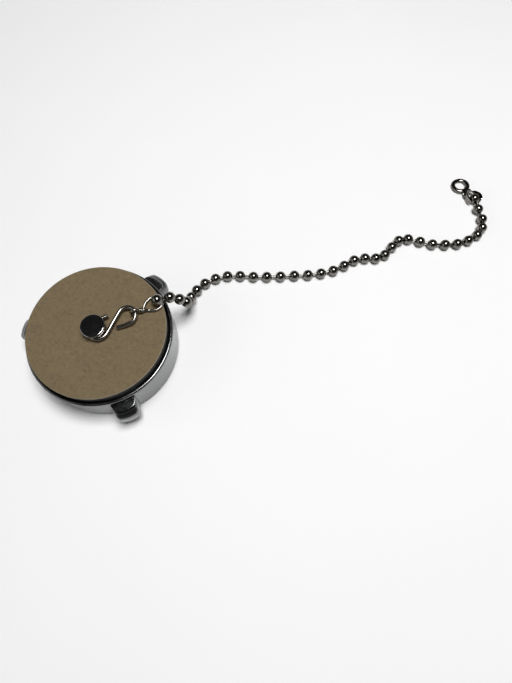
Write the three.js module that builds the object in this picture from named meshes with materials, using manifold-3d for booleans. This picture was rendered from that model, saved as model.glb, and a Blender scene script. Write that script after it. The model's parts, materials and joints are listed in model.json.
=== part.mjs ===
// Deck fill cap with its retaining chain, lying on its outer face with the sealing side up.
// Millimetres, +Z up. The origin is the centre of the flat outer face. Lug 1 points along -Y.
import * as THREE from 'three';
import { mergeVertices } from 'three/addons/utils/BufferGeometryUtils.js';
import Module from 'manifold-3d';

const wasm = await Module();
wasm.setup();

// ---- driving dimensions -------------------------------------------------------------------

const GAP = 0.3; // clearance between pieces that touch

const FACE_T = 3.0; // thickness of the outer face
const WALL_R = 30.3; // outside of the wall
const WALL_IN_R = 25.2; // inside of the wall below the seat
const RIM_R = 30.8; // rounded rim bead
const RIM_IN_R = 29.2;
const WALL_H = 18.5;
const SEAT_Z = 14.5; // ledge that the rubber ring sits on
const BOSS_R = 6.0;
const BOSS_FLOOR = 6.5; // bottom of the blind hole for the stud

const LUG_COUNT = 3;
const LUG_R = 36.9; // middle of the tip
const LUG_W = 9.5;
const LUG_CORNER = 1.6;
const LUG_CROWN_R = 13.0; // the tip is rounded to this radius in plan
const LUG_ROOT_R = 29.6; // inside the wall's thickness
const LUG_LOW = 5.8; // underside
const LUG_TOP = 14.0; // flat top, below the rim
const LUG_FLAT_R = 33.6; // the flat top ends here and the shoulder slopes down
const LUG_SHOULDER_R = 36.0;
const LUG_SHOULDER_Z = 12.7;
const LUG_TIP_Z = 11.6; // top of the upright tip face

const RIB_COUNT = 6;
const RIB_W = 2.0;
const RIB_TOP = 11.0;

const DISC_R = 29.0; // fibre sealing disc
const DISC_T = 1.1;
const DISC_TOP = 22.8;
const DISC_LOW = DISC_TOP - DISC_T;
const LAND_IN_R = 24.0; // inside edge of the land that seals

const RUBBER_R = 28.8;
const RUBBER_IN_R = 22.0;
const PLATE_R = 25.9;
const PLATE_T = 1.2;
const PLATE_TOP = DISC_LOW - GAP;
const PLATE_LOW = PLATE_TOP - PLATE_T;
const BOSS_TOP = PLATE_LOW - GAP;

const SHANK_R = 2.5; // stud, from the boss up to the collar
const COLLAR_R = 4.0;
const COLLAR_T = 0.4;
const NECK_R = 1.45;
const HEAD_R = 5.05;
const HEAD_LOW = 25.7;
const HEAD_TOP = 27.5;

const HOOK_WIRE_R = 0.85;
const HOOK_A = { x: 1.2, y: -1.1, r: 4.2 }; // loop round the stud's neck
const HOOK_B = { x: 14.0, y: 0.15, r: 3.6 }; // loop that the link hangs in
const HOOK_A_Z = 24.6;
const HOOK_B_Z = 25.4;
const HOOK_END_Z = 24.1;
const SHANK_ANGLE = 42.6; // heading of the straight between the two loops, degrees

const LINK_WIRE_R = 0.55;
const LINK_EYE_R = 1.75;
const LINK_Z = 23.7;

const BALL_R = 2.38; // ball chain: 4.76 mm balls, 6.35 mm pitch pulled straight
const TUBE_SIDES = 8;
const TUBE_STEPS = 78;
const TUBE_START = 5.0; // length of chain inside the link before the plain tube starts
const TUBE_END = 3.9; // length of chain inside the claws after it ends

const EYELET_X = 186.6;
const EYELET_Y = 15.9;
const EYELET_R = 4.45;
const EYELET_HOLE_R = 2.45;
const EYELET_HALF_T = 0.7;
const EYELET_Z = 1.25; // height of the ring's centre
const EYELET_TILT = 8; // the ring's far side rests on the surface, its near side is lifted, degrees
const ARM_W = 1.1; // two arms join the ring to the claws
const ARM_T = 0.8;
const ARM_Z = 1.8;
const ARM_OFFSET = 1.25;
const CLAW_IN_R = 2.75;
const CLAW_OUT_R = 3.35;
const CLAW_LOW = 1.2;
const CLAW_TOP = 3.6;
const CLAW_FROM = 14; // each claw starts this far from the direction of the ring, degrees
const CLAW_TO = 145; // and ends this far from the chain's own direction

// The chain's middle line: out of the link, down over the rim, and along the surface to the eyelet.
const CHAIN_ROUTE = [
  [27.6, 1.4, 26.3], [29.9, 1.5, 25.8], [32.4, 1.6, 24.4], [35.3, 1.5, 21.4], [37.3, 1.2, 17.4],
  [39.0, 1.8, 13.6], [39.8, 3.6, 9.8], [41.0, 6.6, 6.2], [44.4, 10.4, 3.4], [49.8, 13.0, 2.4],
  [55.6, 13.5, 2.4], [61.3, 12.5, 2.4], [66.8, 10.3, 2.4], [72.6, 7.4, 2.4], [81.0, 4.0, 2.4],
  [90.0, 0.9, 2.4],
  [98.8, -2.0, 2.4], [107.6, -3.6, 2.4], [113.4, -3.2, 2.4], [118.8, -2.4, 2.4], [123.7, -3.2, 2.4],
  [128.2, -5.2, 2.4], [133.2, -5.4, 2.4], [138.0, -3.1, 2.4], [142.8, -1.0, 2.4], [147.2, -1.7, 2.4],
  [151.4, -4.6, 2.4], [156.3, -8.4, 2.4], [162.1, -11.2, 2.4], [168.0, -13.1, 2.4],
  [174.4, -13.4, 2.4], [180.2, -12.0, 2.4], [184.3, -8.6, 2.4], [186.2, -4.0, 2.4],
  [187.0, 0.9, 2.4], [188.2, 6.0, 2.4],
];

// ---- helpers ------------------------------------------------------------------------------

const CHROME = { color: 0xbfc1c4, roughness: 0.12, metalness: 1.0 };
const DARK_CHROME = { color: 0x8f8c88, roughness: 0.16, metalness: 1.0 };
const STEEL = { color: 0x9a9a98, roughness: 0.35, metalness: 1.0 };
const RUBBER = { color: 0x141414, roughness: 0.75, metalness: 0.0 };
const FIBRE = { color: 0x726550, roughness: 0.9, metalness: 0.0 };

const group = new THREE.Group();

function add(name, geometry, finish) {
  const mesh = new THREE.Mesh(geometry, new THREE.MeshStandardMaterial(finish));
  mesh.name = name;
  group.add(mesh);
  return mesh;
}

function radians(degrees) {
  return THREE.MathUtils.degToRad(degrees);
}

// A closed three.js geometry as a solid that can be joined and cut.
function solid(geometry) {
  const bare = geometry.clone();
  bare.deleteAttribute('normal');
  bare.deleteAttribute('uv');
  const merged = mergeVertices(bare, 1e-4);
  return new wasm.Manifold(new wasm.Mesh({
    numProp: 3,
    vertProperties: new Float32Array(merged.attributes.position.array),
    triVerts: new Uint32Array(merged.index.array),
  }));
}

function geometryOf(body) {
  const mesh = body.getMesh();
  const geometry = new THREE.BufferGeometry();
  geometry.setAttribute('position', new THREE.BufferAttribute(mesh.vertProperties, 3));
  geometry.setIndex(new THREE.BufferAttribute(mesh.triVerts, 1));
  geometry.computeVertexNormals();
  return geometry;
}

// A solid of revolution about Z from (radius, height) points.
function turned(points, segments) {
  const outline = points.map(([r, z]) => new THREE.Vector2(r, z));
  return new THREE.LatheGeometry(outline, segments).rotateX(Math.PI / 2);
}

// The same for a ring whose outline closes on itself.
function turnedRing(points, segments) {
  return turned([...points, points[0]], segments);
}

function circleShape(radius, sides) {
  const shape = new THREE.Shape();
  for (let i = 0; i < sides; i += 1) {
    const a = (2 * Math.PI * i) / sides;
    if (i === 0) shape.moveTo(radius, 0);
    else shape.lineTo(radius * Math.cos(a), radius * Math.sin(a));
  }
  shape.closePath();
  return shape;
}

// A round wire along a smooth curve through the given points.
function wire(points, radius, sides, steps) {
  const path = new THREE.CatmullRomCurve3(points, false, 'centripetal');
  return new THREE.ExtrudeGeometry(circleShape(radius, sides), { extrudePath: path, steps });
}

function vector([x, y, z]) {
  return new THREE.Vector3(x, y, z);
}

// ---- cap shell: face, wall, rim, seat, boss, ribs and lugs, cast in one -------------------

const SHELL_OUTLINE = [
  [0, 0], [28.8, 0], [29.9, 0.45], [30.4, 1.5], [WALL_R, 16.0],
  [30.6, 16.5], [RIM_R, 17.1], [RIM_R, 17.7], [30.55, 18.25], [30.1, WALL_H],
  [29.7, 18.4], [29.35, 18.1], [RIM_IN_R, 17.6], [RIM_IN_R, SEAT_Z], [WALL_IN_R - 0.6, SEAT_Z],
  [WALL_IN_R - 0.6, 13.2], [WALL_IN_R, 12.2], [WALL_IN_R, 4.2], [WALL_IN_R - 1.2, FACE_T],
  [BOSS_R + 1.4, FACE_T], [BOSS_R, 4.4], [BOSS_R, BOSS_TOP - 0.4], [BOSS_R - 0.4, BOSS_TOP],
  [SHANK_R + GAP, BOSS_TOP], [SHANK_R + GAP, BOSS_FLOOR], [0, BOSS_FLOOR],
];

// How far a lug reaches at a distance across from its middle line.
function lugReach(across) {
  const crown = LUG_CROWN_R - Math.sqrt(LUG_CROWN_R ** 2 - across ** 2);
  const inset = Math.max(Math.abs(across) - (LUG_W / 2 - LUG_CORNER), 0);
  const corner = LUG_CORNER - Math.sqrt(LUG_CORNER ** 2 - inset ** 2);
  return LUG_R - crown - corner;
}

// One lug along +X: its plan outline met by its side profile.
function lug() {
  const half = LUG_W / 2;
  const plan = new THREE.Shape();
  plan.moveTo(LUG_ROOT_R, -half);
  const tipSteps = 16;
  for (let i = 0; i <= tipSteps; i += 1) {
    const across = -half * Math.cos((Math.PI * i) / tipSteps);
    plan.lineTo(lugReach(across), across);
  }
  plan.lineTo(LUG_ROOT_R, half);
  plan.closePath();
  const block = new THREE.ExtrudeGeometry(plan, { depth: WALL_H, bevelEnabled: false });
  const side = new THREE.Shape();
  side.moveTo(LUG_ROOT_R - 1, LUG_LOW);
  side.lineTo(LUG_R - 0.6, LUG_LOW);
  side.lineTo(LUG_R + 0.1, LUG_LOW + 0.7);
  side.lineTo(LUG_R + 0.1, LUG_TIP_Z);
  side.lineTo(LUG_SHOULDER_R, LUG_SHOULDER_Z);
  side.lineTo(LUG_FLAT_R, LUG_TOP);
  side.lineTo(LUG_ROOT_R - 1, LUG_TOP);
  side.closePath();
  const profile = new THREE.ExtrudeGeometry(side, { depth: LUG_W + 2, bevelEnabled: false });
  profile.translate(0, 0, -half - 1);
  profile.rotateX(Math.PI / 2);
  return solid(block).intersect(solid(profile));
}

function capShell() {
  let shell = solid(turned(SHELL_OUTLINE, 84));
  const oneLug = lug();
  for (let i = 0; i < LUG_COUNT; i += 1) {
    shell = shell.add(oneLug.rotate([0, 0, -90 + (360 * i) / LUG_COUNT]));
  }
  const ribLength = WALL_IN_R - BOSS_R + 1.5;
  const ribHeight = RIB_TOP - FACE_T + 1;
  const rib = new THREE.BoxGeometry(ribLength, RIB_W, ribHeight);
  rib.translate(BOSS_R - 0.5 + ribLength / 2, 0, RIB_TOP - ribHeight / 2);
  for (let i = 0; i < RIB_COUNT; i += 1) {
    const turnedRib = rib.clone().rotateZ((2 * Math.PI * i) / RIB_COUNT);
    shell = shell.add(solid(turnedRib));
  }
  return geometryOf(shell);
}

add('cap_shell', capShell(), CHROME);

// ---- sealing stack: rubber ring, backing plate, fibre disc ---------------------------------

add('rubber_ring', turnedRing([
  [RUBBER_IN_R, SEAT_Z + GAP], [RUBBER_R - 0.3, SEAT_Z + GAP], [RUBBER_R, SEAT_Z + 2 * GAP],
  [RUBBER_R, PLATE_TOP - 0.3], [RUBBER_R - 0.3, PLATE_TOP], [PLATE_R + 0.4, PLATE_TOP],
  [PLATE_R + 0.4, PLATE_LOW - GAP], [RUBBER_IN_R, PLATE_LOW - GAP],
], 72), RUBBER);

add('backing_plate', turnedRing([
  [SHANK_R + 0.4, PLATE_LOW], [PLATE_R, PLATE_LOW], [PLATE_R, PLATE_TOP],
  [SHANK_R + 0.4, PLATE_TOP],
], 64), STEEL);

add('fibre_disc', turnedRing([
  [SHANK_R + 0.4, DISC_LOW], [DISC_R - 0.2, DISC_LOW], [DISC_R, DISC_LOW + 0.2],
  [DISC_R, DISC_TOP - 0.25], [DISC_R - 0.25, DISC_TOP], [LAND_IN_R, DISC_TOP],
  [SHANK_R + 0.4, DISC_TOP],
], 96), FIBRE);

// ---- shoulder stud: screwed into the boss, its head holds the hook -------------------------

const COLLAR_LOW = DISC_TOP + GAP;
add('shoulder_stud', turned([
  [0, BOSS_FLOOR + 1.5], [SHANK_R - 0.4, BOSS_FLOOR + 1.5], [SHANK_R, BOSS_FLOOR + 1.9],
  [SHANK_R, COLLAR_LOW], [COLLAR_R, COLLAR_LOW], [COLLAR_R, COLLAR_LOW + COLLAR_T],
  [NECK_R, COLLAR_LOW + COLLAR_T], [NECK_R, HEAD_LOW], [HEAD_R - 0.35, HEAD_LOW],
  [HEAD_R, HEAD_LOW + 0.3], [HEAD_R, HEAD_TOP - 0.7], [HEAD_R - 0.25, HEAD_TOP - 0.3],
  [HEAD_R - 0.9, HEAD_TOP - 0.1], [0, HEAD_TOP],
], 40), DARK_CHROME);

// ---- S hook: one bent wire, loop A round the stud, loop B for the link ----------------------

function arcPoints(loop, fromDegrees, toDegrees, count, fromZ, toZ) {
  const points = [];
  for (let i = 0; i <= count; i += 1) {
    const t = i / count;
    const a = radians(fromDegrees + (toDegrees - fromDegrees) * t);
    const z = fromZ + (toZ - fromZ) * t;
    points.push(new THREE.Vector3(loop.x + loop.r * Math.cos(a), loop.y + loop.r * Math.sin(a), z));
  }
  return points;
}

function hookPath() {
  const tangent = SHANK_ANGLE - 90;
  return [
    new THREE.Vector3(6.7, HOOK_A.y + HOOK_A.r, HOOK_A_Z - 0.1),
    new THREE.Vector3(4.4, HOOK_A.y + HOOK_A.r, HOOK_A_Z),
    ...arcPoints(HOOK_A, 90, 360 + tangent, 14, HOOK_A_Z, HOOK_A_Z),
    ...arcPoints(HOOK_B, 180 + tangent, 0, 7, HOOK_B_Z - 0.4, HOOK_B_Z),
    ...arcPoints(HOOK_B, -18, -100, 4, HOOK_B_Z - 0.05, HOOK_END_Z + 0.5),
    new THREE.Vector3(10.8, -3.3, HOOK_END_Z + 0.1),
    new THREE.Vector3(8.4, -3.0, HOOK_END_Z),
  ];
}

add('s_hook', wire(hookPath(), HOOK_WIRE_R, 10, 72), DARK_CHROME);

// ---- connector link: a small eye round loop B, a twisted neck, a flat loop for the chain ----

const EYE_CENTRE = new THREE.Vector3(HOOK_B.x + HOOK_B.r, HOOK_B.y, HOOK_B_Z);

function connectorLink() {
  const eye = new THREE.TorusGeometry(LINK_EYE_R, LINK_WIRE_R, 8, 22);
  eye.rotateX(Math.PI / 2);
  eye.translate(EYE_CENTRE.x, EYE_CENTRE.y, EYE_CENTRE.z);
  const neck = wire([
    [19.2, 0.2, 24.9], [20.2, 0.3, 24.4], [21.4, 0.35, 24.05],
  ].map(vector), LINK_WIRE_R + 0.2, 8, 5);
  const upper = wire([
    [20.8, 0.5, 24.1], [22.4, 2.9, LINK_Z + 0.1], [24.8, 4.4, LINK_Z], [27.4, 4.4, LINK_Z],
    [28.9, 3.2, LINK_Z], [29.25, 1.3, LINK_Z],
  ].map(vector), LINK_WIRE_R, 8, 16);
  const lower = wire([
    [20.8, 0.1, 24.1], [22.8, -0.5, LINK_Z + 0.1], [25.2, -1.4, LINK_Z], [27.5, -1.1, LINK_Z],
    [28.9, 0.1, LINK_Z], [29.25, 1.8, LINK_Z],
  ].map(vector), LINK_WIRE_R, 8, 16);
  const joined = solid(eye).add(solid(neck)).add(solid(upper)).add(solid(lower));
  return geometryOf(joined);
}

add('connector_link', connectorLink(), DARK_CHROME);

// ---- ball chain: the two captured end balls, and a plain tube for the balls between them ----

const route = new THREE.CatmullRomCurve3(CHAIN_ROUTE.map(vector), false, 'centripetal');
route.arcLengthDivisions = 2000;

function ball(at) {
  return new THREE.SphereGeometry(BALL_R, 18, 12).rotateX(Math.PI / 2).translate(at.x, at.y, at.z);
}

function chainTube() {
  const length = route.getLength();
  const points = [];
  for (let i = 0; i <= TUBE_STEPS; i += 1) {
    const along = TUBE_START + ((length - TUBE_START - TUBE_END) * i) / TUBE_STEPS;
    points.push(route.getPointAt(along / length));
  }
  return wire(points, BALL_R, TUBE_SIDES, TUBE_STEPS);
}

const lastBall = vector(CHAIN_ROUTE[CHAIN_ROUTE.length - 1]);
add('first_ball', ball(vector(CHAIN_ROUTE[0])), DARK_CHROME);
add('ball_chain', chainTube(), DARK_CHROME);
add('last_ball', ball(lastBall), DARK_CHROME);

// ---- eyelet coupling: a pressed ring, two arms and two claws that close round the last ball ----

function eyeletCoupling() {
  const ring = turnedRing([
    [EYELET_HOLE_R, -0.3], [2.7, -0.6], [3.1, -EYELET_HALF_T], [3.8, -EYELET_HALF_T],
    [4.25, -0.45], [EYELET_R, 0], [4.25, 0.45], [3.8, EYELET_HALF_T], [3.1, EYELET_HALF_T],
    [2.7, 0.6], [EYELET_HOLE_R, 0.3],
  ], 32);
  const toRing = Math.atan2(EYELET_Y - lastBall.y, EYELET_X - lastBall.x);
  const distance = Math.hypot(EYELET_X - lastBall.x, EYELET_Y - lastBall.y);
  ring.rotateY(radians(EYELET_TILT));
  ring.rotateZ(toRing);
  ring.translate(EYELET_X, EYELET_Y, EYELET_Z);

  const tangent = route.getTangentAt(1);
  const chainHeading = Math.atan2(tangent.y, tangent.x);
  let body = solid(ring);
  const armFrom = CLAW_IN_R - 0.15;
  const armTo = distance - EYELET_R + 1.0;
  for (const hand of [-1, 1]) {
    const arm = new THREE.BoxGeometry(armTo - armFrom, ARM_W, ARM_T);
    arm.translate((armFrom + armTo) / 2, hand * ARM_OFFSET, ARM_Z);
    arm.rotateZ(toRing);
    arm.translate(lastBall.x, lastBall.y, 0);
    const from = toRing + hand * radians(CLAW_FROM);
    const to = chainHeading + hand * radians(CLAW_TO);
    const strip = new THREE.Shape();
    strip.absarc(0, 0, CLAW_OUT_R, from, to, hand < 0);
    strip.absarc(0, 0, CLAW_IN_R, to, from, hand > 0);
    strip.closePath();
    const claw = new THREE.ExtrudeGeometry(strip, {
      depth: CLAW_TOP - CLAW_LOW, bevelEnabled: false, curveSegments: 12,
    });
    claw.translate(lastBall.x, lastBall.y, CLAW_LOW);
    body = body.add(solid(arm)).add(solid(claw));
  }
  return geometryOf(body);
}

add('eyelet_coupling', eyeletCoupling(), DARK_CHROME);

export default group;
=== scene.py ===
import json
import math

import bmesh
import bpy
from mathutils import Matrix, Vector, noise

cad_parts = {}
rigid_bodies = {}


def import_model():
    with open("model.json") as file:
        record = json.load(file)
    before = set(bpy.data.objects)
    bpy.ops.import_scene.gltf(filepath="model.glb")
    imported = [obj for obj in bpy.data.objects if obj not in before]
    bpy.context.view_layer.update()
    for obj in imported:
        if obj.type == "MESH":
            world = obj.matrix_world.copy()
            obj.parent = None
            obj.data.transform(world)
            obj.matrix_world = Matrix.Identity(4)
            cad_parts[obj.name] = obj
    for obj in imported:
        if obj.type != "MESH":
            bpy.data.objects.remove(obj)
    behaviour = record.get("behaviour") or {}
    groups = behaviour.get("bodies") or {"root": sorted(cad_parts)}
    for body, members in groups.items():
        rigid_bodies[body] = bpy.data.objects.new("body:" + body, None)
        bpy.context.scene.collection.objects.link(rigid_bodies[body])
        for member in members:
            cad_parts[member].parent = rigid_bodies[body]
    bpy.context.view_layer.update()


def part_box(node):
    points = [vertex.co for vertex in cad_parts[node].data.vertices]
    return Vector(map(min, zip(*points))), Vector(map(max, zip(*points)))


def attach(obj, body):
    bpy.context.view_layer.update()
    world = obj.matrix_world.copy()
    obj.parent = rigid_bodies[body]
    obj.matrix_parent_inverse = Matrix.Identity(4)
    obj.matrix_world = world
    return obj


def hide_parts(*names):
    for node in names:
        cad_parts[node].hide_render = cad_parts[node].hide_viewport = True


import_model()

MM = 0.001
TAU = 2 * math.pi

# ---- places and sizes from the frame ---------------------------------------------------------


def node_box(node):
    low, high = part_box(node)
    return Vector(low), Vector(high)


DISC_LOW, DISC_HIGH = node_box("fibre_disc")
DISC_R = (DISC_HIGH.x - DISC_LOW.x) / 2
DISC_TOP = DISC_HIGH.z
DISC_BOTTOM = DISC_LOW.z
RUBBER_LOW, RUBBER_HIGH = node_box("rubber_ring")
RUBBER_R = (RUBBER_HIGH.x - RUBBER_LOW.x) / 2
STUD_LOW, STUD_HIGH = node_box("shoulder_stud")
HEAD_R = (STUD_HIGH.x - STUD_LOW.x) / 2
HEAD_TOP = STUD_HIGH.z
BALL_LOW, BALL_HIGH = node_box("last_ball")
BALL_R = (BALL_HIGH.z - BALL_LOW.z) / 2
LAST_BALL = (BALL_LOW + BALL_HIGH) / 2

# ---- camera ------------------------------------------------------------------------------------

CAMERA_AT = Vector((37.5, -92.7, 209.6)) * MM
CAMERA_AIM = Vector((60.2, -25.2, 10.0)) * MM
CAMERA_ROLL = math.radians(-3.45)
CAMERA_LENS = 26.0
CAMERA_SENSOR = 36.0


def make_camera():
    data = bpy.data.cameras.new("camera")
    data.sensor_fit = "AUTO"
    data.sensor_width = CAMERA_SENSOR
    data.lens = CAMERA_LENS
    data.clip_start = 0.01
    camera = bpy.data.objects.new("camera", data)
    bpy.context.scene.collection.objects.link(camera)
    level = (CAMERA_AIM - CAMERA_AT).to_track_quat("-Z", "Y").to_matrix().to_4x4()
    camera.matrix_world = (
        Matrix.Translation(CAMERA_AT) @ level @ Matrix.Rotation(CAMERA_ROLL, 4, "Z")
    )
    bpy.context.scene.camera = camera


make_camera()

# ---- mesh helpers ------------------------------------------------------------------------------


def new_object(name, verts, faces, material):
    mesh = bpy.data.meshes.new(name)
    mesh.from_pydata([tuple(v) for v in verts], [], faces)
    mesh.validate()
    obj = bpy.data.objects.new(name, mesh)
    bpy.context.scene.collection.objects.link(obj)
    bm = bmesh.new()
    bm.from_mesh(mesh)
    bmesh.ops.recalc_face_normals(bm, faces=bm.faces)
    bm.to_mesh(mesh)
    bm.free()
    mesh.materials.append(material)
    mesh.polygons.foreach_set("use_smooth", [True] * len(mesh.polygons))
    return obj


def sharpen(obj, degrees):
    """Edges sharper than this stay crisp under smooth shading."""
    limit = math.radians(degrees)
    bm = bmesh.new()
    bm.from_mesh(obj.data)
    for edge in bm.edges:
        if len(edge.link_faces) == 2 and edge.calc_face_angle(0.0) > limit:
            edge.smooth = False
    bm.to_mesh(obj.data)
    bm.free()


class Build:
    """Collects vertices and faces of one piece."""

    def __init__(self):
        self.verts = []
        self.faces = []

    def add(self, verts, faces):
        base = len(self.verts)
        self.verts.extend(verts)
        self.faces.extend([tuple(base + i for i in face) for face in faces])

    def object(self, name, material, sharp=None):
        obj = new_object(name, self.verts, self.faces, material)
        if sharp is not None:
            sharpen(obj, sharp)
        return obj


def turned(profile, segments, closed=False):
    """(radius, height) points turned round Z. An end that lies on the axis is one vertex."""
    verts = []
    rings = []
    for radius, z in profile:
        if radius < 1e-7:
            rings.append([len(verts)] * segments)
            verts.append(Vector((0, 0, z)))
        else:
            start = len(verts)
            for i in range(segments):
                a = TAU * i / segments
                verts.append(Vector((radius * math.cos(a), radius * math.sin(a), z)))
            rings.append(list(range(start, start + segments)))
    pairs = list(zip(rings, rings[1:]))
    if closed:
        pairs.append((rings[-1], rings[0]))
    faces = []
    for low, high in pairs:
        for i in range(segments):
            j = (i + 1) % segments
            corners = []
            for index in (low[i], low[j], high[j], high[i]):
                if index not in corners:
                    corners.append(index)
            if len(corners) > 2:
                faces.append(tuple(corners))
    return verts, faces


def rounded(points, radius, steps, closed=True):
    """The outline with each corner replaced by a small arc."""
    result = []
    count = len(points)
    for i, point in enumerate(points):
        here = Vector(point)
        if not closed and i in (0, count - 1):
            result.append(tuple(here))
            continue
        before = Vector(points[i - 1]) - here
        after = Vector(points[(i + 1) % count]) - here
        cut = min(radius, before.length * 0.45, after.length * 0.45)
        a = here + before.normalized() * cut
        b = here + after.normalized() * cut
        for k in range(steps + 1):
            t = k / steps
            result.append(tuple(a * (1 - t) ** 2 + here * 2 * t * (1 - t) + b * t**2))
    return result


def catmull(points, per_span):
    """A smooth curve through the points, evenly smooth on uneven spacing."""
    points = [Vector(p) for p in points]
    padded = [points[0] * 2 - points[1], *points, points[-1] * 2 - points[-2]]
    line = []
    for i in range(1, len(padded) - 2):
        p0, p1, p2, p3 = padded[i - 1 : i + 3]
        d0, d1, d2 = (
            math.sqrt((b - a).length) for a, b in ((p0, p1), (p1, p2), (p2, p3))
        )
        m1 = ((p1 - p0) / d0 - (p2 - p0) / (d0 + d1) + (p2 - p1) / d1) * d1
        m2 = ((p2 - p1) / d1 - (p3 - p1) / (d1 + d2) + (p3 - p2) / d2) * d1
        for k in range(per_span):
            t = k / per_span
            line.append(
                p1 * (2 * t**3 - 3 * t**2 + 1)
                + m1 * (t**3 - 2 * t**2 + t)
                + p2 * (-2 * t**3 + 3 * t**2)
                + m2 * (t**3 - t**2)
            )
    line.append(points[-1])
    return line


def lengths(line):
    total = [0.0]
    for a, b in zip(line, line[1:]):
        total.append(total[-1] + (b - a).length)
    return total


def frames(line, closed=False):
    """Tangent and two cross directions at each point, carried along without twist."""
    count = len(line)
    tangents = []
    for i in range(count):
        a = line[i - 1] if i > 0 or closed else line[0]
        b = line[(i + 1) % count] if i < count - 1 or closed else line[-1]
        tangents.append((b - a).normalized())
    side = tangents[0].orthogonal().normalized()
    result = []
    for tangent in tangents:
        side = (side - tangent * side.dot(tangent)).normalized()
        result.append((tangent, side, tangent.cross(side)))
    return result


END_CHAMFER = 0.35  # of a wire's radius, at its cut ends


def wire(line, radius, sides, closed=False):
    """A round wire along the line; open ends are cut with a small chamfer."""
    cross = frames(line, closed)
    rings = []
    if closed:
        rings = [(p, radius, f) for p, f in zip(line, cross)]
        start = cross[0][1]
        last = cross[-1]
        slip = math.atan2(start.dot(last[2]), start.dot(last[1]))
    else:
        slip = 0.0
        chamfer = radius * END_CHAMFER
        rings.append((line[0], radius - chamfer, cross[0]))
        for k, (p, f) in enumerate(zip(line, cross)):
            if k == 0:
                rings.append((p + f[0] * chamfer * 0.5, radius, f))
            elif k == len(line) - 1:
                rings.append((p - f[0] * chamfer * 0.5, radius, f))
            else:
                rings.append((p, radius, f))
        rings.append((line[-1], radius - chamfer, cross[-1]))
    verts = []
    count = len(rings)
    for k, (p, r, (_, u, v)) in enumerate(rings):
        turn = slip * k / count
        for i in range(sides):
            a = TAU * i / sides + turn
            verts.append(p + (u * math.cos(a) + v * math.sin(a)) * r)
    faces = []
    spans = count if closed else count - 1
    for k in range(spans):
        n = (k + 1) % count
        for i in range(sides):
            j = (i + 1) % sides
            faces.append((k * sides + i, k * sides + j, n * sides + j, n * sides + i))
    if not closed:
        faces.append(tuple(reversed(range(sides))))
        faces.append(tuple((count - 1) * sides + i for i in range(sides)))
    return verts, faces


# ---- materials ---------------------------------------------------------------------------------


class Nodes:
    """Short-hand for building one material's nodes."""

    def __init__(self, name):
        self.material = bpy.data.materials.new(name)
        self.material.use_nodes = True
        self.tree = self.material.node_tree
        self.shader = self.tree.nodes["Principled BSDF"]
        self.place = self.new("ShaderNodeTexCoord").outputs["Object"]

    def new(self, kind, **values):
        node = self.tree.nodes.new(kind)
        for key, value in values.items():
            setattr(node, key, value)
        return node

    def link(self, source, target):
        self.tree.links.new(source, target)

    def noise(self, scale, detail=3.0, stretch=None, rough=0.55, distortion=0.0):
        node = self.new("ShaderNodeTexNoise")
        node.inputs["Scale"].default_value = scale
        node.inputs["Detail"].default_value = detail
        node.inputs["Roughness"].default_value = rough
        node.inputs["Distortion"].default_value = distortion
        source = self.place
        if stretch is not None:
            mapping = self.new("ShaderNodeMapping")
            mapping.inputs["Scale"].default_value = stretch
            self.link(self.place, mapping.inputs["Vector"])
            source = mapping.outputs["Vector"]
        self.link(source, node.inputs["Vector"])
        return node.outputs["Fac"]

    def ramp(self, fac, stops):
        node = self.new("ShaderNodeValToRGB")
        elements = node.color_ramp.elements
        while len(elements) < len(stops):
            elements.new(0.5)
        for element, (position, value) in zip(elements, stops):
            element.position = position
            if isinstance(value, (int, float)):
                value = (value, value, value)
            element.color = (*value, 1.0)
        self.link(fac, node.inputs["Fac"])
        return node.outputs["Color"]

    def mix(self, fac, a, b, blend="MIX"):
        node = self.new("ShaderNodeMix", data_type="RGBA", blend_type=blend)
        sockets = [s for s in node.inputs if s.enabled]
        for socket, value in zip(sockets, (fac, a, b)):
            if isinstance(value, (int, float)):
                socket.default_value = value
            elif isinstance(value, tuple):
                socket.default_value = (*value, 1.0)
            else:
                self.link(value, socket)
        return [s for s in node.outputs if s.enabled][0]

    def math(self, operation, a, b=0.0):
        node = self.new("ShaderNodeMath", operation=operation)
        for socket, value in zip(node.inputs, (a, b)):
            if isinstance(value, (int, float)):
                socket.default_value = value
            else:
                self.link(value, socket)
        return node.outputs[0]

    def bump(self, height, distance, strength):
        node = self.new("ShaderNodeBump")
        node.inputs["Strength"].default_value = strength
        node.inputs["Distance"].default_value = distance
        self.link(height, node.inputs["Height"])
        return node.outputs["Normal"]

    def done(self, color, roughness, normal, metallic):
        self.link(color, self.shader.inputs["Base Color"])
        self.link(roughness, self.shader.inputs["Roughness"])
        self.link(normal, self.shader.inputs["Normal"])
        self.shader.inputs["Metallic"].default_value = metallic
        return self.material


def plated_metal(name, bright, dull, rough_low, rough_high, grain, scratches=0.3):
    """Plated metal with cloudy handling marks, specks, fine scratches and a faint grain."""
    m = Nodes(name)
    cloud = m.noise(160.0, 4.0)
    fine = m.noise(1400.0, 3.0)
    streak = m.noise(900.0, 2.0, stretch=(1.0, 1.0, 14.0), distortion=0.4)
    speck = m.ramp(m.noise(2600.0, 2.0), [(0.66, 0.0), (0.74, 1.0)])
    tone = m.ramp(cloud, [(0.3, dull), (0.62, bright)])
    tone = m.mix(m.math("MULTIPLY", speck, 0.35), tone, tuple(c * 0.45 for c in dull))
    wear = m.math("MULTIPLY", m.math("ADD", cloud, streak), 0.5)
    rough = m.ramp(wear, [(0.35, rough_low), (0.68, rough_high)])
    relief = m.math("MULTIPLY", streak, scratches)
    height = m.math("ADD", relief, m.math("MULTIPLY", fine, grain))
    return m.done(tone, rough, m.bump(height, 0.04 * MM, 0.6), 1.0)


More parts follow.
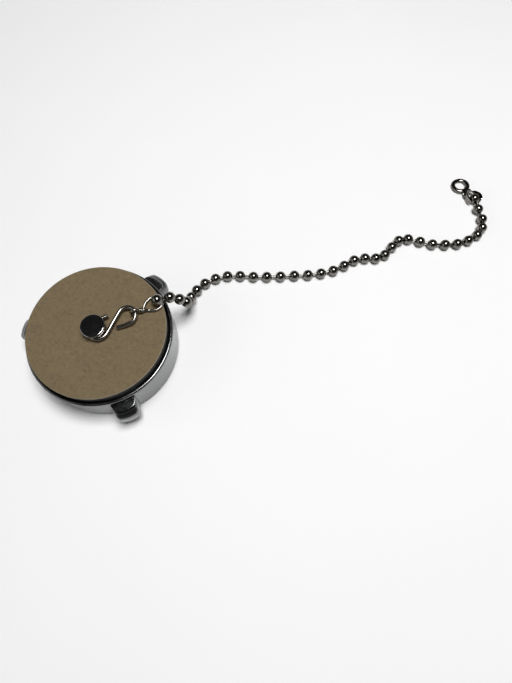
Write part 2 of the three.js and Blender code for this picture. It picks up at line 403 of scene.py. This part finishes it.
def pressed_fibre(name):
    """Compressed tan fibre sheet: fine flecks and short fibres, paler at its cut edge."""
    m = Nodes(name)
    clouds = m.noise(110.0, 5.0, rough=0.65)
    flecks = m.noise(900.0, 4.0, rough=0.75)
    fibres_x = m.noise(800.0, 3.0, stretch=(1.0, 5.0, 1.0), distortion=1.2)
    fibres_y = m.noise(800.0, 3.0, stretch=(5.0, 1.0, 1.0), distortion=1.2)
    tan = m.ramp(clouds, [(0.30, (0.149, 0.109, 0.0560)), (0.70, (0.162, 0.119, 0.0625))])
    dark = m.ramp(flecks, [(0.28, 0.55), (0.48, 1.0), (0.72, 1.32)])
    tan = m.mix(0.85, tan, dark, "MULTIPLY")
    crossed = m.math("MULTIPLY", m.math("ADD", fibres_x, fibres_y), 0.5)
    tan = m.mix(m.ramp(crossed, [(0.58, 0.0), (0.70, 0.5)]), tan, (0.235, 0.192, 0.125))
    parts = m.new("ShaderNodeSeparateXYZ")
    m.link(m.place, parts.inputs[0])
    across, along = (m.math("POWER", parts.outputs[i], 2.0) for i in (0, 1))
    reach = m.math("DIVIDE", m.math("SQRT", m.math("ADD", across, along)), DISC_R)
    edge = m.ramp(reach, [(0.985, 0.0), (0.998, 0.8)])
    tan = m.mix(edge, tan, (0.30, 0.262, 0.19))
    rough = m.ramp(flecks, [(0.3, 0.78), (0.7, 0.95)])
    height = m.math("ADD", m.math("MULTIPLY", flecks, 0.7), m.math("MULTIPLY", crossed, 0.6))
    return m.done(tan, rough, m.bump(height, 0.12 * MM, 0.7), 0.0)


def moulded_rubber(name):
    """Matt black rubber with a faint bloom and a fine moulded grain."""
    m = Nodes(name)
    cloud = m.noise(220.0, 4.0)
    fine = m.noise(2400.0, 3.0)
    tone = m.ramp(cloud, [(0.3, 0.006), (0.7, 0.016)])
    rough = m.ramp(fine, [(0.3, 0.5), (0.7, 0.72)])
    return m.done(tone, rough, m.bump(fine, 0.06 * MM, 0.5), 0.0)


# Name, bright and dull tone, lowest and highest roughness, grain and sometimes scratches.
CHROME = plated_metal(
    "satin_chrome", (0.178, 0.181, 0.183), (0.140, 0.143, 0.145), 0.14, 0.26, 0.25
)
STUD = plated_metal(
    "stud_chrome", (0.38, 0.38, 0.39), (0.29, 0.29, 0.30), 0.08, 0.16, 0.25
)
WIRE = plated_metal(
    "wire_chrome", (0.315, 0.30, 0.275), (0.235, 0.222, 0.20), 0.17, 0.25, 0.05, 0.08
)
BALLS = plated_metal(
    "ball_chrome", (0.215, 0.205, 0.188), (0.158, 0.15, 0.136), 0.07, 0.14, 0.1, 0.15
)
STEEL = plated_metal(
    "plate_steel", (0.45, 0.45, 0.44), (0.34, 0.34, 0.33), 0.30, 0.45, 0.5
)
FIBRE = pressed_fibre("pressed_fibre")
RUBBER = moulded_rubber("seal_rubber")

# ---- ball chain --------------------------------------------------------------------------------

# The chain's middle line in millimetres, the same points as the CAD model's route.
CHAIN_ROUTE = [
    (27.6, 1.4, 26.3), (29.9, 1.5, 25.8), (32.4, 1.6, 24.4), (35.3, 1.5, 21.4), (37.3, 1.2, 17.4),
    (39.0, 1.8, 13.6), (39.8, 3.6, 9.8), (41.0, 6.6, 6.2), (44.4, 10.4, 3.4), (49.8, 13.0, 2.4),
    (55.6, 13.5, 2.4), (61.3, 12.5, 2.4), (66.8, 10.3, 2.4), (72.6, 7.4, 2.4), (81.0, 4.0, 2.4),
    (90.0, 0.9, 2.4), (98.8, -2.0, 2.4), (107.6, -3.6, 2.4), (113.4, -3.2, 2.4), (118.8, -2.4, 2.4),
    (123.7, -3.2, 2.4), (128.2, -5.2, 2.4), (133.2, -5.4, 2.4), (138.0, -3.1, 2.4),
    (142.8, -1.0, 2.4), (147.2, -1.7, 2.4), (151.4, -4.6, 2.4), (156.3, -8.4, 2.4),
    (162.1, -11.2, 2.4), (168.0, -13.1, 2.4), (174.4, -13.4, 2.4), (180.2, -12.0, 2.4),
    (184.3, -8.6, 2.4), (186.2, -4.0, 2.4), (187.0, 0.9, 2.4), (188.2, 6.0, 2.4),
]
BALL_COUNT = 36
BEND_CROWDING = 3.5 * MM  # how much closer the balls sit where the chain bends on the floor
HANG_CROWDING = 1.15  # and how much closer where it hangs down from the link
ON_FLOOR = 3.0 * MM  # the middle line of the part that lies on the floor is lower than this
BEND_REACH = 6  # the bend is measured over this many steps each way
LINE_STEPS = 24  # steps of the middle line between two points of the route
PIN_R = 0.52 * MM
PIN_SUNK = 1.5 * MM  # a pin starts this far from a ball's middle
HOLE_R = 0.80 * MM


def chain_line():
    return catmull([Vector(p) * MM for p in CHAIN_ROUTE], LINE_STEPS)


def ball_places(line):
    """Ball centres along the chain, crowded where it bends, as its pins slide into the balls."""
    along = lengths(line)
    weight = [0.0]
    for i in range(1, len(line)):
        step = along[i] - along[i - 1]
        bend = 0.0
        if BEND_REACH < i < len(line) - BEND_REACH - 1:
            a, b = i - BEND_REACH, i + BEND_REACH
            before = (line[i] - line[a]).normalized()
            after = (line[b] - line[i]).normalized()
            bend = before.angle(after) / (along[b] - along[a]) * 2
        lying = line[i].z < ON_FLOOR
        weight.append(weight[-1] + step * (1 + BEND_CROWDING * bend if lying else HANG_CROWDING))
    places = []
    k = 0
    for n in range(BALL_COUNT):
        target = weight[-1] * n / (BALL_COUNT - 1)
        while k < len(weight) - 2 and weight[k + 1] < target:
            k += 1
        t = (target - weight[k]) / (weight[k + 1] - weight[k])
        places.append(line[k].lerp(line[k + 1], min(max(t, 0.0), 1.0)))
    return places


def ball_profile():
    """Half outline of one pressed ball along its pin axis, with a dimple where the pin leaves."""
    lip = math.asin(HOLE_R / BALL_R)
    lip_z = -BALL_R * math.cos(lip)
    dimple = ((0.0, 0.42), (0.80, 0.34), (0.93, 0.10))  # share of the hole's radius, depth in mm
    points = [(HOLE_R * share, lip_z + depth * MM) for share, depth in dimple]
    rings = 18
    for i in range(rings + 1):
        a = lip + (math.pi - 2 * lip) * i / rings
        points.append((BALL_R * math.sin(a), -BALL_R * math.cos(a)))
    points.extend((r, -z) for r, z in reversed(points[:3]))
    return points


def placed(verts, centre, axis):
    turn = Vector((0, 0, 1)).rotation_difference(axis).to_matrix()
    return [centre + turn @ v for v in verts]


def make_chain():
    line = chain_line()
    balls = ball_places(line)
    build = Build()
    ball_verts, ball_faces = turned(ball_profile(), 28)
    for i, centre in enumerate(balls):
        before = balls[max(i - 1, 0)]
        after = balls[min(i + 1, BALL_COUNT - 1)]
        axis = (after - before).normalized()
        build.add(placed(ball_verts, centre, axis), ball_faces)
    for a, b in zip(balls, balls[1:]):
        half = (b - a).length / 2 - PIN_SUNK
        profile = [(0, -half), (PIN_R, -half), (PIN_R, half), (0, half)]
        verts, faces = turned(profile, 12)
        build.add(placed(verts, (a + b) / 2, (b - a).normalized()), faces)
    chain = build.object("bead_chain", BALLS, sharp=45)
    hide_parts("ball_chain", "first_ball", "last_ball")
    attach(chain, "link")
    return chain, line, balls


CHAIN, CHAIN_LINE, BALLS_AT = make_chain()

# ---- eyelet coupling ---------------------------------------------------------------------------

EYELET_CENTRE = Vector((186.6, 15.9, 1.25)) * MM
EYELET_OUT_R = 4.45 * MM
EYELET_HOLE_R = 2.45 * MM
EYELET_HALF_T = 0.7 * MM
EYELET_TILT = math.radians(8)  # its far side rests on the floor
CLAW_T = 0.5 * MM
CLAW_W = 3.1 * MM
ARM_W = 1.3 * MM  # width of an arm where it leaves the ring
ARM_Z = 1.78 * MM
# An arm's middle line from the ring to the ball, in millimetres: distance from the ball's middle
# towards the ring, and distance to the side.
ARM_KNOTS = [(5.3, 1.3), (4.3, 1.65), (3.3, 2.0)]
ARM_START = 3.5  # the line starts this far from the ring's middle, within its width
ARM_START_SIDE = 1.15
CLAW_FROM = math.radians(56)  # the arm meets the ball's circle this far from the ring's direction
CLAW_CUP = 0.75  # how closely the strip follows the ball across its height
CLAW_TIP = 0.6 * CLAW_W  # the claw's end is rounded over this length
CLAW_R = BALL_R + 0.53 * MM  # middle of the claw's thickness
CLAW_TO = math.radians(137)  # a claw ends this far from the chain's own direction


def make_eyelet():
    reach = EYELET_CENTRE - LAST_BALL
    to_ring = math.atan2(reach.y, reach.x)
    distance = math.hypot(reach.x, reach.y)
    heading = CHAIN_LINE[-1] - CHAIN_LINE[-4]
    chain_heading = math.atan2(heading.y, heading.x)
    build = Build()
    middle = (EYELET_OUT_R + EYELET_HOLE_R) / 2
    half = (EYELET_OUT_R - EYELET_HOLE_R) / 2
    outline = []
    sides = 28
    for i in range(sides):
        a = TAU * i / sides
        outline.append((middle + half * math.cos(a), EYELET_HALF_T * math.sin(a)))
    verts, faces = turned(outline, 72, closed=True)
    turn = Matrix.Rotation(to_ring, 3, "Z") @ Matrix.Rotation(EYELET_TILT, 3, "Y")
    build.add([turn @ v + EYELET_CENTRE for v in verts], faces)
    for hand in (-1, 1):
        arm_and_claw(build, hand, to_ring, distance, chain_heading)
    eyelet = build.object("eyelet_clasp", BALLS, sharp=50)
    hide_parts("eyelet_coupling")
    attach(eyelet, "eyelet")
    return eyelet


def arm_and_claw(build, hand, to_ring, distance, chain_heading):
    """One pressed strip: leaves the ring lying flat, turns on edge and wraps the last ball."""
    turn = Matrix.Rotation(to_ring, 3, "Z")
    knots = [(distance / MM - ARM_START, ARM_START_SIDE), *ARM_KNOTS]
    points = [turn @ Vector((x, hand * y, 0)) * MM for x, y in knots]
    start = to_ring + hand * CLAW_FROM
    end = chain_heading + hand * CLAW_TO
    wraps = 9
    for k in range(wraps + 1):
        a = start + (end - start) * k / wraps
        points.append(Vector((math.cos(a), math.sin(a), 0)) * CLAW_R)
    per_span = 5
    line = catmull(points, per_span)
    along = lengths(line)
    total = along[-1]
    on_ball = along[per_span * len(knots)]
    sweep = []
    for k, point in enumerate(line):
        before = line[max(k - 1, 0)]
        after = line[min(k + 1, len(line) - 1)]
        tangent = (after - before).normalized()
        out = Vector((tangent.y, -tangent.x, 0)) * -hand
        rise = min(along[k] / on_ball, 1.0)
        smooth = rise * rise * (3 - 2 * rise)
        height = ARM_W + (CLAW_W - ARM_W) * smooth
        tip = (total - along[k]) / CLAW_TIP
        if tip < 1:
            height *= math.sqrt(max(1 - (1 - tip) ** 2, 0.06))
        z = ARM_Z + (LAST_BALL.z - ARM_Z) * smooth
        spot = Vector((LAST_BALL.x, LAST_BALL.y, z)) + point
        flat = math.pi / 2 * (1 - smooth)
        up = Vector((0, 0, 1))
        face = out * math.cos(flat) - up * math.sin(flat)
        wide = up * math.cos(flat) + out * math.sin(flat)
        sweep.append((spot, face, wide, height))
    claw(build, sweep)


def claw(build, sweep):
    """A curved strip, cupped round the ball: a grid across its height, with thickness."""
    across = 8
    verts = []
    for spot, face, wide, height in sweep:
        for side in (0, 1):
            for i in range(across + 1):
                lift = (i / across - 0.5) * height
                fall = 1 - math.sqrt(max(1 - (lift / (BALL_R + 0.4 * MM)) ** 2, 0))
                cup = -fall * BALL_R * CLAW_CUP
                thick = CLAW_T * (0.5 - side)
                verts.append(spot + face * (cup + thick) + wide * lift)
    row = across + 1
    ring = 2 * row
    loop = list(range(row)) + [row + i for i in reversed(range(row))]
    faces = []
    for k in range(len(sweep) - 1):
        a, b = k * ring, (k + 1) * ring
        for i in range(len(loop)):
            j = (i + 1) % len(loop)
            faces.append((a + loop[i], a + loop[j], b + loop[j], b + loop[i]))
    for k in (0, len(sweep) - 1):
        base = k * ring
        for i in range(across):
            faces.append((base + i, base + i + 1, base + row + i + 1, base + row + i))
    build.add(verts, faces)


EYELET = make_eyelet()

# ---- S hook ------------------------------------------------------------------------------------

HOOK_WIRE_R = 0.85 * MM
HOOK_A = (1.2, -1.1, 4.2)  # loop round the stud's neck: middle x, middle y, radius, in mm
HOOK_B = (14.0, 0.15, 3.6)  # loop that the link hangs in
HOOK_A_Z = 24.6
HOOK_B_Z = 25.4
HOOK_END_Z = 24.1
SHANK_ANGLE = 42.6  # heading of the straight between the two loops, degrees


def arc(loop, start, end, count, z_start, z_end):
    """Points along a loop from one angle to another, in mm and degrees."""
    x, y, r = loop
    points = []
    for i in range(count + 1):
        t = i / count
        a = math.radians(start + (end - start) * t)
        points.append((x + r * math.cos(a), y + r * math.sin(a), z_start + (z_end - z_start) * t))
    return points


def make_hook():
    """One bent wire: a short stub, loop A, the straight, loop B and its turned-in end."""
    tangent = SHANK_ANGLE - 90
    stub_y = HOOK_A[1] + HOOK_A[2]
    route = [(6.7, stub_y, HOOK_A_Z - 0.1), (4.4, stub_y, HOOK_A_Z)]
    route += arc(HOOK_A, 90, 360 + tangent, 14, HOOK_A_Z, HOOK_A_Z)
    route += arc(HOOK_B, 180 + tangent, 0, 7, HOOK_B_Z - 0.4, HOOK_B_Z)
    route += arc(HOOK_B, -18, -100, 4, HOOK_B_Z - 0.05, HOOK_END_Z + 0.5)
    route += [(10.8, -3.3, HOOK_END_Z + 0.1), (8.4, -3.0, HOOK_END_Z)]
    line = catmull([Vector(p) * MM for p in route], 14)
    build = Build()
    build.add(*wire(line, HOOK_WIRE_R, 24))
    hook = build.object("hook_wire", WIRE, sharp=40)
    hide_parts("s_hook")
    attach(hook, "hook")


make_hook()

# ---- connector link ----------------------------------------------------------------------------

LINK_WIRE_R = 0.55 * MM
EYE_R = 1.72 * MM
STRAND_R = 1.02 * LINK_WIRE_R  # each strand's distance from the middle of the neck
NECK_TURNS = 1.0
NECK = ((19.6, 0.22, 24.7), (21.0, 0.32, 24.15))  # ends of the twisted neck
# The flat loop in millimetres: its +Y side from the neck outward, then its -Y side back.
LOOP_OUT = [
    (22.4, 2.9, 23.8), (24.8, 4.4, 23.7), (27.4, 4.4, 23.7), (28.9, 3.2, 23.7), (29.3, 1.6, 23.7),
]
LOOP_BACK = [(28.9, 0.1, 23.7), (27.5, -1.1, 23.7), (25.2, -1.4, 23.7), (22.8, -0.5, 23.8)]


def make_link():
    """One closed wire: eye round loop B, two strands twisted at the neck, flat loop."""
    eye = Vector((HOOK_B[0] + HOOK_B[2], HOOK_B[1], HOOK_B_Z)) * MM
    neck_a, neck_b = (Vector(p) * MM for p in NECK)
    along = (neck_b - neck_a).normalized()
    side = Vector((-along.y, along.x, 0)).normalized()
    up = along.cross(side) * -1

    def strand(phase, t):
        a = phase + TAU * NECK_TURNS * t
        offset = (side * math.cos(a) + up * math.sin(a)) * STRAND_R
        return neck_a.lerp(neck_b, t) + offset

    points = []
    for k in range(17):
        a = math.radians(40 + 280 * k / 16)
        points.append(eye + Vector((math.cos(a), 0, math.sin(a))) * EYE_R)
    first = [strand(-math.pi / 2, 0.1 + 0.8 * k / 6) for k in range(7)]
    second = [strand(math.pi / 2, 0.9 - 0.8 * k / 6) for k in range(7)]
    loop = [Vector(p) * MM for p in LOOP_OUT + LOOP_BACK]
    if first[-1].y <= second[0].y:
        loop.reverse()
    knots = points + first + loop + second
    per_span = 8
    line = catmull(knots + knots[:3], per_span)
    line = line[per_span : per_span * (len(knots) + 1)]
    build = Build()
    build.add(*wire(line, LINK_WIRE_R, 18, closed=True))
    link = build.object("link_wire", WIRE)
    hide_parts("connector_link")
    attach(link, "link")


make_link()

# ---- stud --------------------------------------------------------------------------------------


def make_stud():
    """Shank, collar over the disc, neck for the hook and round head."""
    shank_r = 2.5 * MM
    neck_r = 1.45 * MM
    collar_r = 4.0 * MM
    head_low = HEAD_TOP - 1.8 * MM
    collar_low = DISC_TOP + 0.3 * MM
    collar_top = collar_low + 0.4 * MM
    lead = 0.4 * MM
    low = STUD_LOW.z
    profile = [
        (0.0, low), (shank_r - lead, low), (shank_r, low + lead), (shank_r, collar_low),
        (collar_r, collar_low), (collar_r, collar_top), (neck_r, collar_top), (neck_r, head_low),
    ]
    stations = rounded(profile, 0.12 * MM, 3, closed=False)
    corner = 0.28 * MM  # underside of the head
    for k in range(7):
        a = math.radians(-90 + 90 * k / 6)
        r = HEAD_R - corner + corner * math.cos(a)
        stations.append((r, head_low + corner + corner * math.sin(a)))
    soft = 0.62 * MM  # worn upper edge, then a slightly domed top
    soft_h = 0.8 * soft
    dome = 0.12 * MM
    for k in range(10):
        a = math.radians(90 * k / 9)
        r = HEAD_R - soft + soft * math.cos(a) ** 0.8
        stations.append((r, HEAD_TOP - dome - soft_h + soft_h * math.sin(a)))
    for k in range(1, 9):
        t = k / 8
        stations.append(((HEAD_R - soft) * (1 - t), HEAD_TOP - dome * (1 - t) ** 2))
    build = Build()
    build.add(*turned(stations, 96))
    stud = build.object("stud_turned", STUD, sharp=50)
    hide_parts("shoulder_stud")
    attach(stud, "cap")


make_stud()

# ---- sealing disc and ring ---------------------------------------------------------------------

DISC_HOLE_R = 2.9 * MM
DISC_RAG = 0.05 * MM  # unevenness of the disc's cut edge
DISC_RAG_FROM = 0.97  # of the disc's radius
RUBBER_IN_R = 22.0 * MM
STEP_R = 26.3 * MM  # the backing plate lies inside this step in the rubber
STEP_DEEP = 1.5 * MM


def make_disc():
    """The fibre sheet, with softened edges and a slightly uneven cut round the outside."""
    hole = DISC_HOLE_R
    outline = [
        (hole, DISC_BOTTOM), (DISC_R - 0.15 * MM, DISC_BOTTOM), (DISC_R, DISC_BOTTOM + 0.2 * MM),
        (DISC_R, DISC_TOP - 0.3 * MM), (DISC_R - 0.35 * MM, DISC_TOP), (hole, DISC_TOP),
    ]
    smooth = rounded(outline, 0.18 * MM, 3)
    verts, faces = turned(smooth, 240, closed=True)
    shaped = []
    for v in verts:
        reach = math.hypot(v.x, v.y) / DISC_R
        if reach > DISC_RAG_FROM:
            rag = noise.noise(v * 900) * DISC_RAG
            pull = 1 - (DISC_RAG + abs(rag)) / DISC_R
            v = Vector((v.x * pull, v.y * pull, v.z))
        shaped.append(v)
    build = Build()
    build.add(shaped, faces)
    disc = build.object("disc_sheet", FIBRE, sharp=60)
    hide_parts("fibre_disc")
    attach(disc, "disc")


def make_rubber():
    """The black ring between the seat and the disc, with a step for the backing plate."""
    low, high = RUBBER_LOW.z, RUBBER_HIGH.z
    outline = [
        (RUBBER_IN_R, low), (RUBBER_R, low), (RUBBER_R, high), (STEP_R, high),
        (STEP_R, high - STEP_DEEP), (RUBBER_IN_R, high - STEP_DEEP),
    ]
    build = Build()
    build.add(*turned(rounded(outline, 0.45 * MM, 5), 160, closed=True))
    ring = build.object("rubber_seal", RUBBER)
    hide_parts("rubber_ring")
    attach(ring, "cap")


make_disc()
make_rubber()

# ---- cap shell ---------------------------------------------------------------------------------

WALL_R = 30.3 * MM
RIM_R = 30.8 * MM
RIM_IN_R = 29.2 * MM
WALL_H = 18.5 * MM
SEAT_Z = 14.5 * MM
LUG_COUNT = 3
LUG_W = 9.5 * MM
LUG_CORNER = 1.6 * MM
LUG_CROWN_R = 13.0 * MM  # the tip is rounded to this radius in plan
LUG_ROOT_ZONE = 2.2 * MM  # the lug narrows from the wall over this distance
LUG_FLARE = 0.9 * MM
LUG_ROWS = 22
LUG_VOXEL = 0.14 * MM
BEAD_R = 0.8 * MM
RIB_COUNT = 6
RIB_HALF = 1.0 * MM
RIB_TAPER = 0.8  # width at the top of a rib against its foot


def shell_profile():
    """Half section of the cap: face, wall, rim bead, seat ledge, floor, boss and blind hole."""
    points = [(0.0, 0.0), (28.6, 0.0), (29.75, 0.35), (30.35, 1.4), (30.4, 2.2), (30.3, 15.6)]
    profile = [(r * MM, z * MM) for r, z in points]
    profile = rounded(profile, 0.7 * MM, 5, closed=False)
    for k in range(15):
        a = math.radians(-50 + 230 * k / 14)
        r = RIM_R - BEAD_R + BEAD_R * math.cos(a)
        profile.append((r, WALL_H - BEAD_R + BEAD_R * math.sin(a)))
    inner = [
        (RIM_IN_R, 16.9 * MM), (RIM_IN_R, SEAT_Z), (24.6 * MM, SEAT_Z), (24.6 * MM, 13.2 * MM),
        (25.2 * MM, 12.2 * MM), (25.2 * MM, 4.2 * MM), (24.0 * MM, 3.0 * MM), (7.4 * MM, 3.0 * MM),
        (6.0 * MM, 4.4 * MM), (6.0 * MM, 19.0 * MM), (5.6 * MM, 19.4 * MM), (2.8 * MM, 19.4 * MM),
        (2.8 * MM, 6.5 * MM), (0.0, 6.5 * MM),
    ]
    return profile + rounded(inner, 0.25 * MM, 3, closed=False)


def lug_outline():
    """Side outline of a lug: flat top, shoulder with a fine step, upright tip."""
    points = [
        (28.0, 14.0), (33.8, 14.0), (34.0, 13.72), (34.3, 13.66), (34.95, 13.08), (35.05, 12.85),
        (35.35, 12.78), (36.3, 12.0), (36.75, 11.4), (36.9, 10.6), (36.9, 6.8), (36.6, 6.1),
        (36.0, 5.8), (28.0, 5.8),
    ]
    return [(r * MM, z * MM) for r, z in points]


def lug_place(across, r):
    """Where an outline point goes: pulled in at the corners, flared where it meets the wall."""
    crown = LUG_CROWN_R - math.sqrt(LUG_CROWN_R**2 - across**2)
    inset = max(abs(across) - (LUG_W / 2 - LUG_CORNER), 0.0)
    corner = LUG_CORNER - math.sqrt(max(LUG_CORNER**2 - inset**2, 0.0))
    outward = min(1.0, max(0.0, (r - WALL_R) / LUG_ROOT_ZONE))
    flare = LUG_FLARE * (1 - outward) ** 2 * (2 * across / LUG_W) ** 3
    return r - (crown + corner) * outward, across + flare


def make_lug_mesh():
    """A lug grown out of a strip of the wall, rounded and filleted as a casting is."""
    outline = lug_outline()
    bm = bmesh.new()
    rows = []
    for k in range(LUG_ROWS + 1):
        across = -LUG_W / 2 * math.cos(math.pi * k / LUG_ROWS)
        row = []
        for r, z in outline:
            x, y = lug_place(across, r)
            row.append(bm.verts.new((x, y, z)))
        rows.append(row)
    for a, b in zip(rows, rows[1:]):
        for i in range(len(outline)):
            j = (i + 1) % len(outline)
            bm.faces.new((a[i], a[j], b[j], b[i]))
    bm.faces.new(rows[0])
    bm.faces.new(list(reversed(rows[-1])))
    segments = 24
    arc_half = math.radians(15)
    inner, outer = 28.6 * MM, WALL_R - 0.09 * MM
    low, high = 3 * MM, 17 * MM
    ring = []
    for k in range(segments + 1):
        a = -arc_half + 2 * arc_half * k / segments
        c, s = math.cos(a), math.sin(a)
        section = ((inner, low), (outer, low), (outer, high), (inner, high))
        ring.append([bm.verts.new((radius * c, radius * s, z)) for radius, z in section])
    for a, b in zip(ring, ring[1:]):
        for i in range(4):
            j = (i + 1) % 4
            bm.faces.new((a[i], a[j], b[j], b[i]))
    bm.faces.new(ring[0])
    bm.faces.new(list(reversed(ring[-1])))
    bmesh.ops.recalc_face_normals(bm, faces=bm.faces)
    mesh = bpy.data.meshes.new("lug_cast")
    bm.to_mesh(mesh)
    bm.free()
    obj = bpy.data.objects.new("lug_cast", mesh)
    bpy.context.scene.collection.objects.link(obj)
    remesh = obj.modifiers.new("cast", "REMESH")
    remesh.mode = "VOXEL"
    remesh.voxel_size = LUG_VOXEL
    soften = obj.modifiers.new("soften", "SMOOTH")
    soften.factor = 0.5
    soften.iterations = 8
    baked = bpy.data.meshes.new_from_object(
        obj.evaluated_get(bpy.context.evaluated_depsgraph_get())
    )
    bpy.data.objects.remove(obj)
    return baked


def make_shell():
    build = Build()
    build.add(*turned(shell_profile(), 256))
    x0, x1, z0, z1 = 5.5 * MM, 26.0 * MM, 2.0 * MM, 11.0 * MM
    foot = RIB_HALF
    top = RIB_HALF * RIB_TAPER
    corners = [
        (x0, -foot, z0), (x1, -foot, z0), (x1, foot, z0), (x0, foot, z0),
        (x0, -top, z1), (x1, -top, z1), (x1, top, z1), (x0, top, z1),
    ]
    faces = [(3, 2, 1, 0), (4, 5, 6, 7)]
    faces += [(0, 1, 5, 4), (1, 2, 6, 5), (2, 3, 7, 6), (3, 0, 4, 7)]
    for k in range(RIB_COUNT):
        turn = Matrix.Rotation(TAU * k / RIB_COUNT, 3, "Z")
        build.add([turn @ Vector(c) for c in corners], faces)
    lug = make_lug_mesh()
    lug_verts = [v.co.copy() for v in lug.vertices]
    lug_faces = [tuple(p.vertices) for p in lug.polygons]
    for k in range(LUG_COUNT):
        turn = Matrix.Rotation(TAU * (k / LUG_COUNT - 0.25), 3, "Z")
        build.add([turn @ v for v in lug_verts], lug_faces)
    shell = build.object("cap_casting", CHROME, sharp=40)
    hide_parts("cap_shell")
    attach(shell, "cap")


make_shell()

# The backing plate is hidden and keeps its CAD mesh; only its material is set here.
for obj in bpy.data.objects:
    if obj.name == "backing_plate" and obj.type == "MESH":
        for entry in obj.material_slots:
            entry.material = STEEL

# ---- floor, light and world --------------------------------------------------------------------


def make_floor():
    m = Nodes("floor")
    tone = m.ramp(m.noise(6.0, 3.0), [(0.3, 0.93), (0.7, 0.95)])
    rough = m.ramp(m.noise(40.0, 2.0), [(0.3, 0.85), (0.7, 0.9)])
    m.done(tone, rough, m.bump(m.noise(900.0, 2.0), 0.02 * MM, 0.2), 0.0)
    size = 4.0
    floor = new_object(
        "floor",
        [(-size, -size, 0), (size, -size, 0), (size, size, 0), (-size, size, 0)],
        [(0, 1, 2, 3)],
        m.material,
    )


def area_light(name, at, aim, width, height, watts):
    data = bpy.data.lights.new(name, "AREA")
    data.shape = "RECTANGLE"
    data.size = width
    data.size_y = height
    data.energy = watts
    light = bpy.data.objects.new(name, data)
    bpy.context.scene.collection.objects.link(light)
    turn = (Vector(aim) - Vector(at)).to_track_quat("-Z", "Y").to_matrix().to_4x4()
    light.matrix_world = Matrix.Translation(at) @ turn


def make_world():
    """Dim surroundings, lightest at the horizon and dark overhead."""
    world = bpy.data.worlds.new("studio")
    world.use_nodes = True
    tree = world.node_tree
    place = tree.nodes.new("ShaderNodeTexCoord")
    parts = tree.nodes.new("ShaderNodeSeparateXYZ")
    ramp = tree.nodes.new("ShaderNodeValToRGB")
    tree.links.new(place.outputs["Generated"], parts.inputs[0])
    tree.links.new(parts.outputs[2], ramp.inputs[0])
    tree.links.new(ramp.outputs[0], tree.nodes["Background"].inputs[0])
    stops = [(0.0, 0.18), (0.2, 0.14), (0.42, 0.08), (0.6, 0.03), (1.0, 0.015)]
    while len(ramp.color_ramp.elements) < len(stops):
        ramp.color_ramp.elements.new(0.5)
    for element, (position, value) in zip(ramp.color_ramp.elements, stops):
        element.position = position
        element.color = (value, value, value, 1)
    tree.nodes["Background"].inputs[1].default_value = 1.0
    bpy.context.scene.world = world


make_floor()
make_world()
MIDDLE = (0.07, 0.0, 0.0)
area_light("key", (0.17, -0.03, 0.80), MIDDLE, 0.33, 0.33, 6.35)
area_light("left_fill", (-0.80, 0.05, 0.55), MIDDLE, 0.9, 0.5, 1.2)
bpy.context.scene.view_settings.view_transform = "Standard"
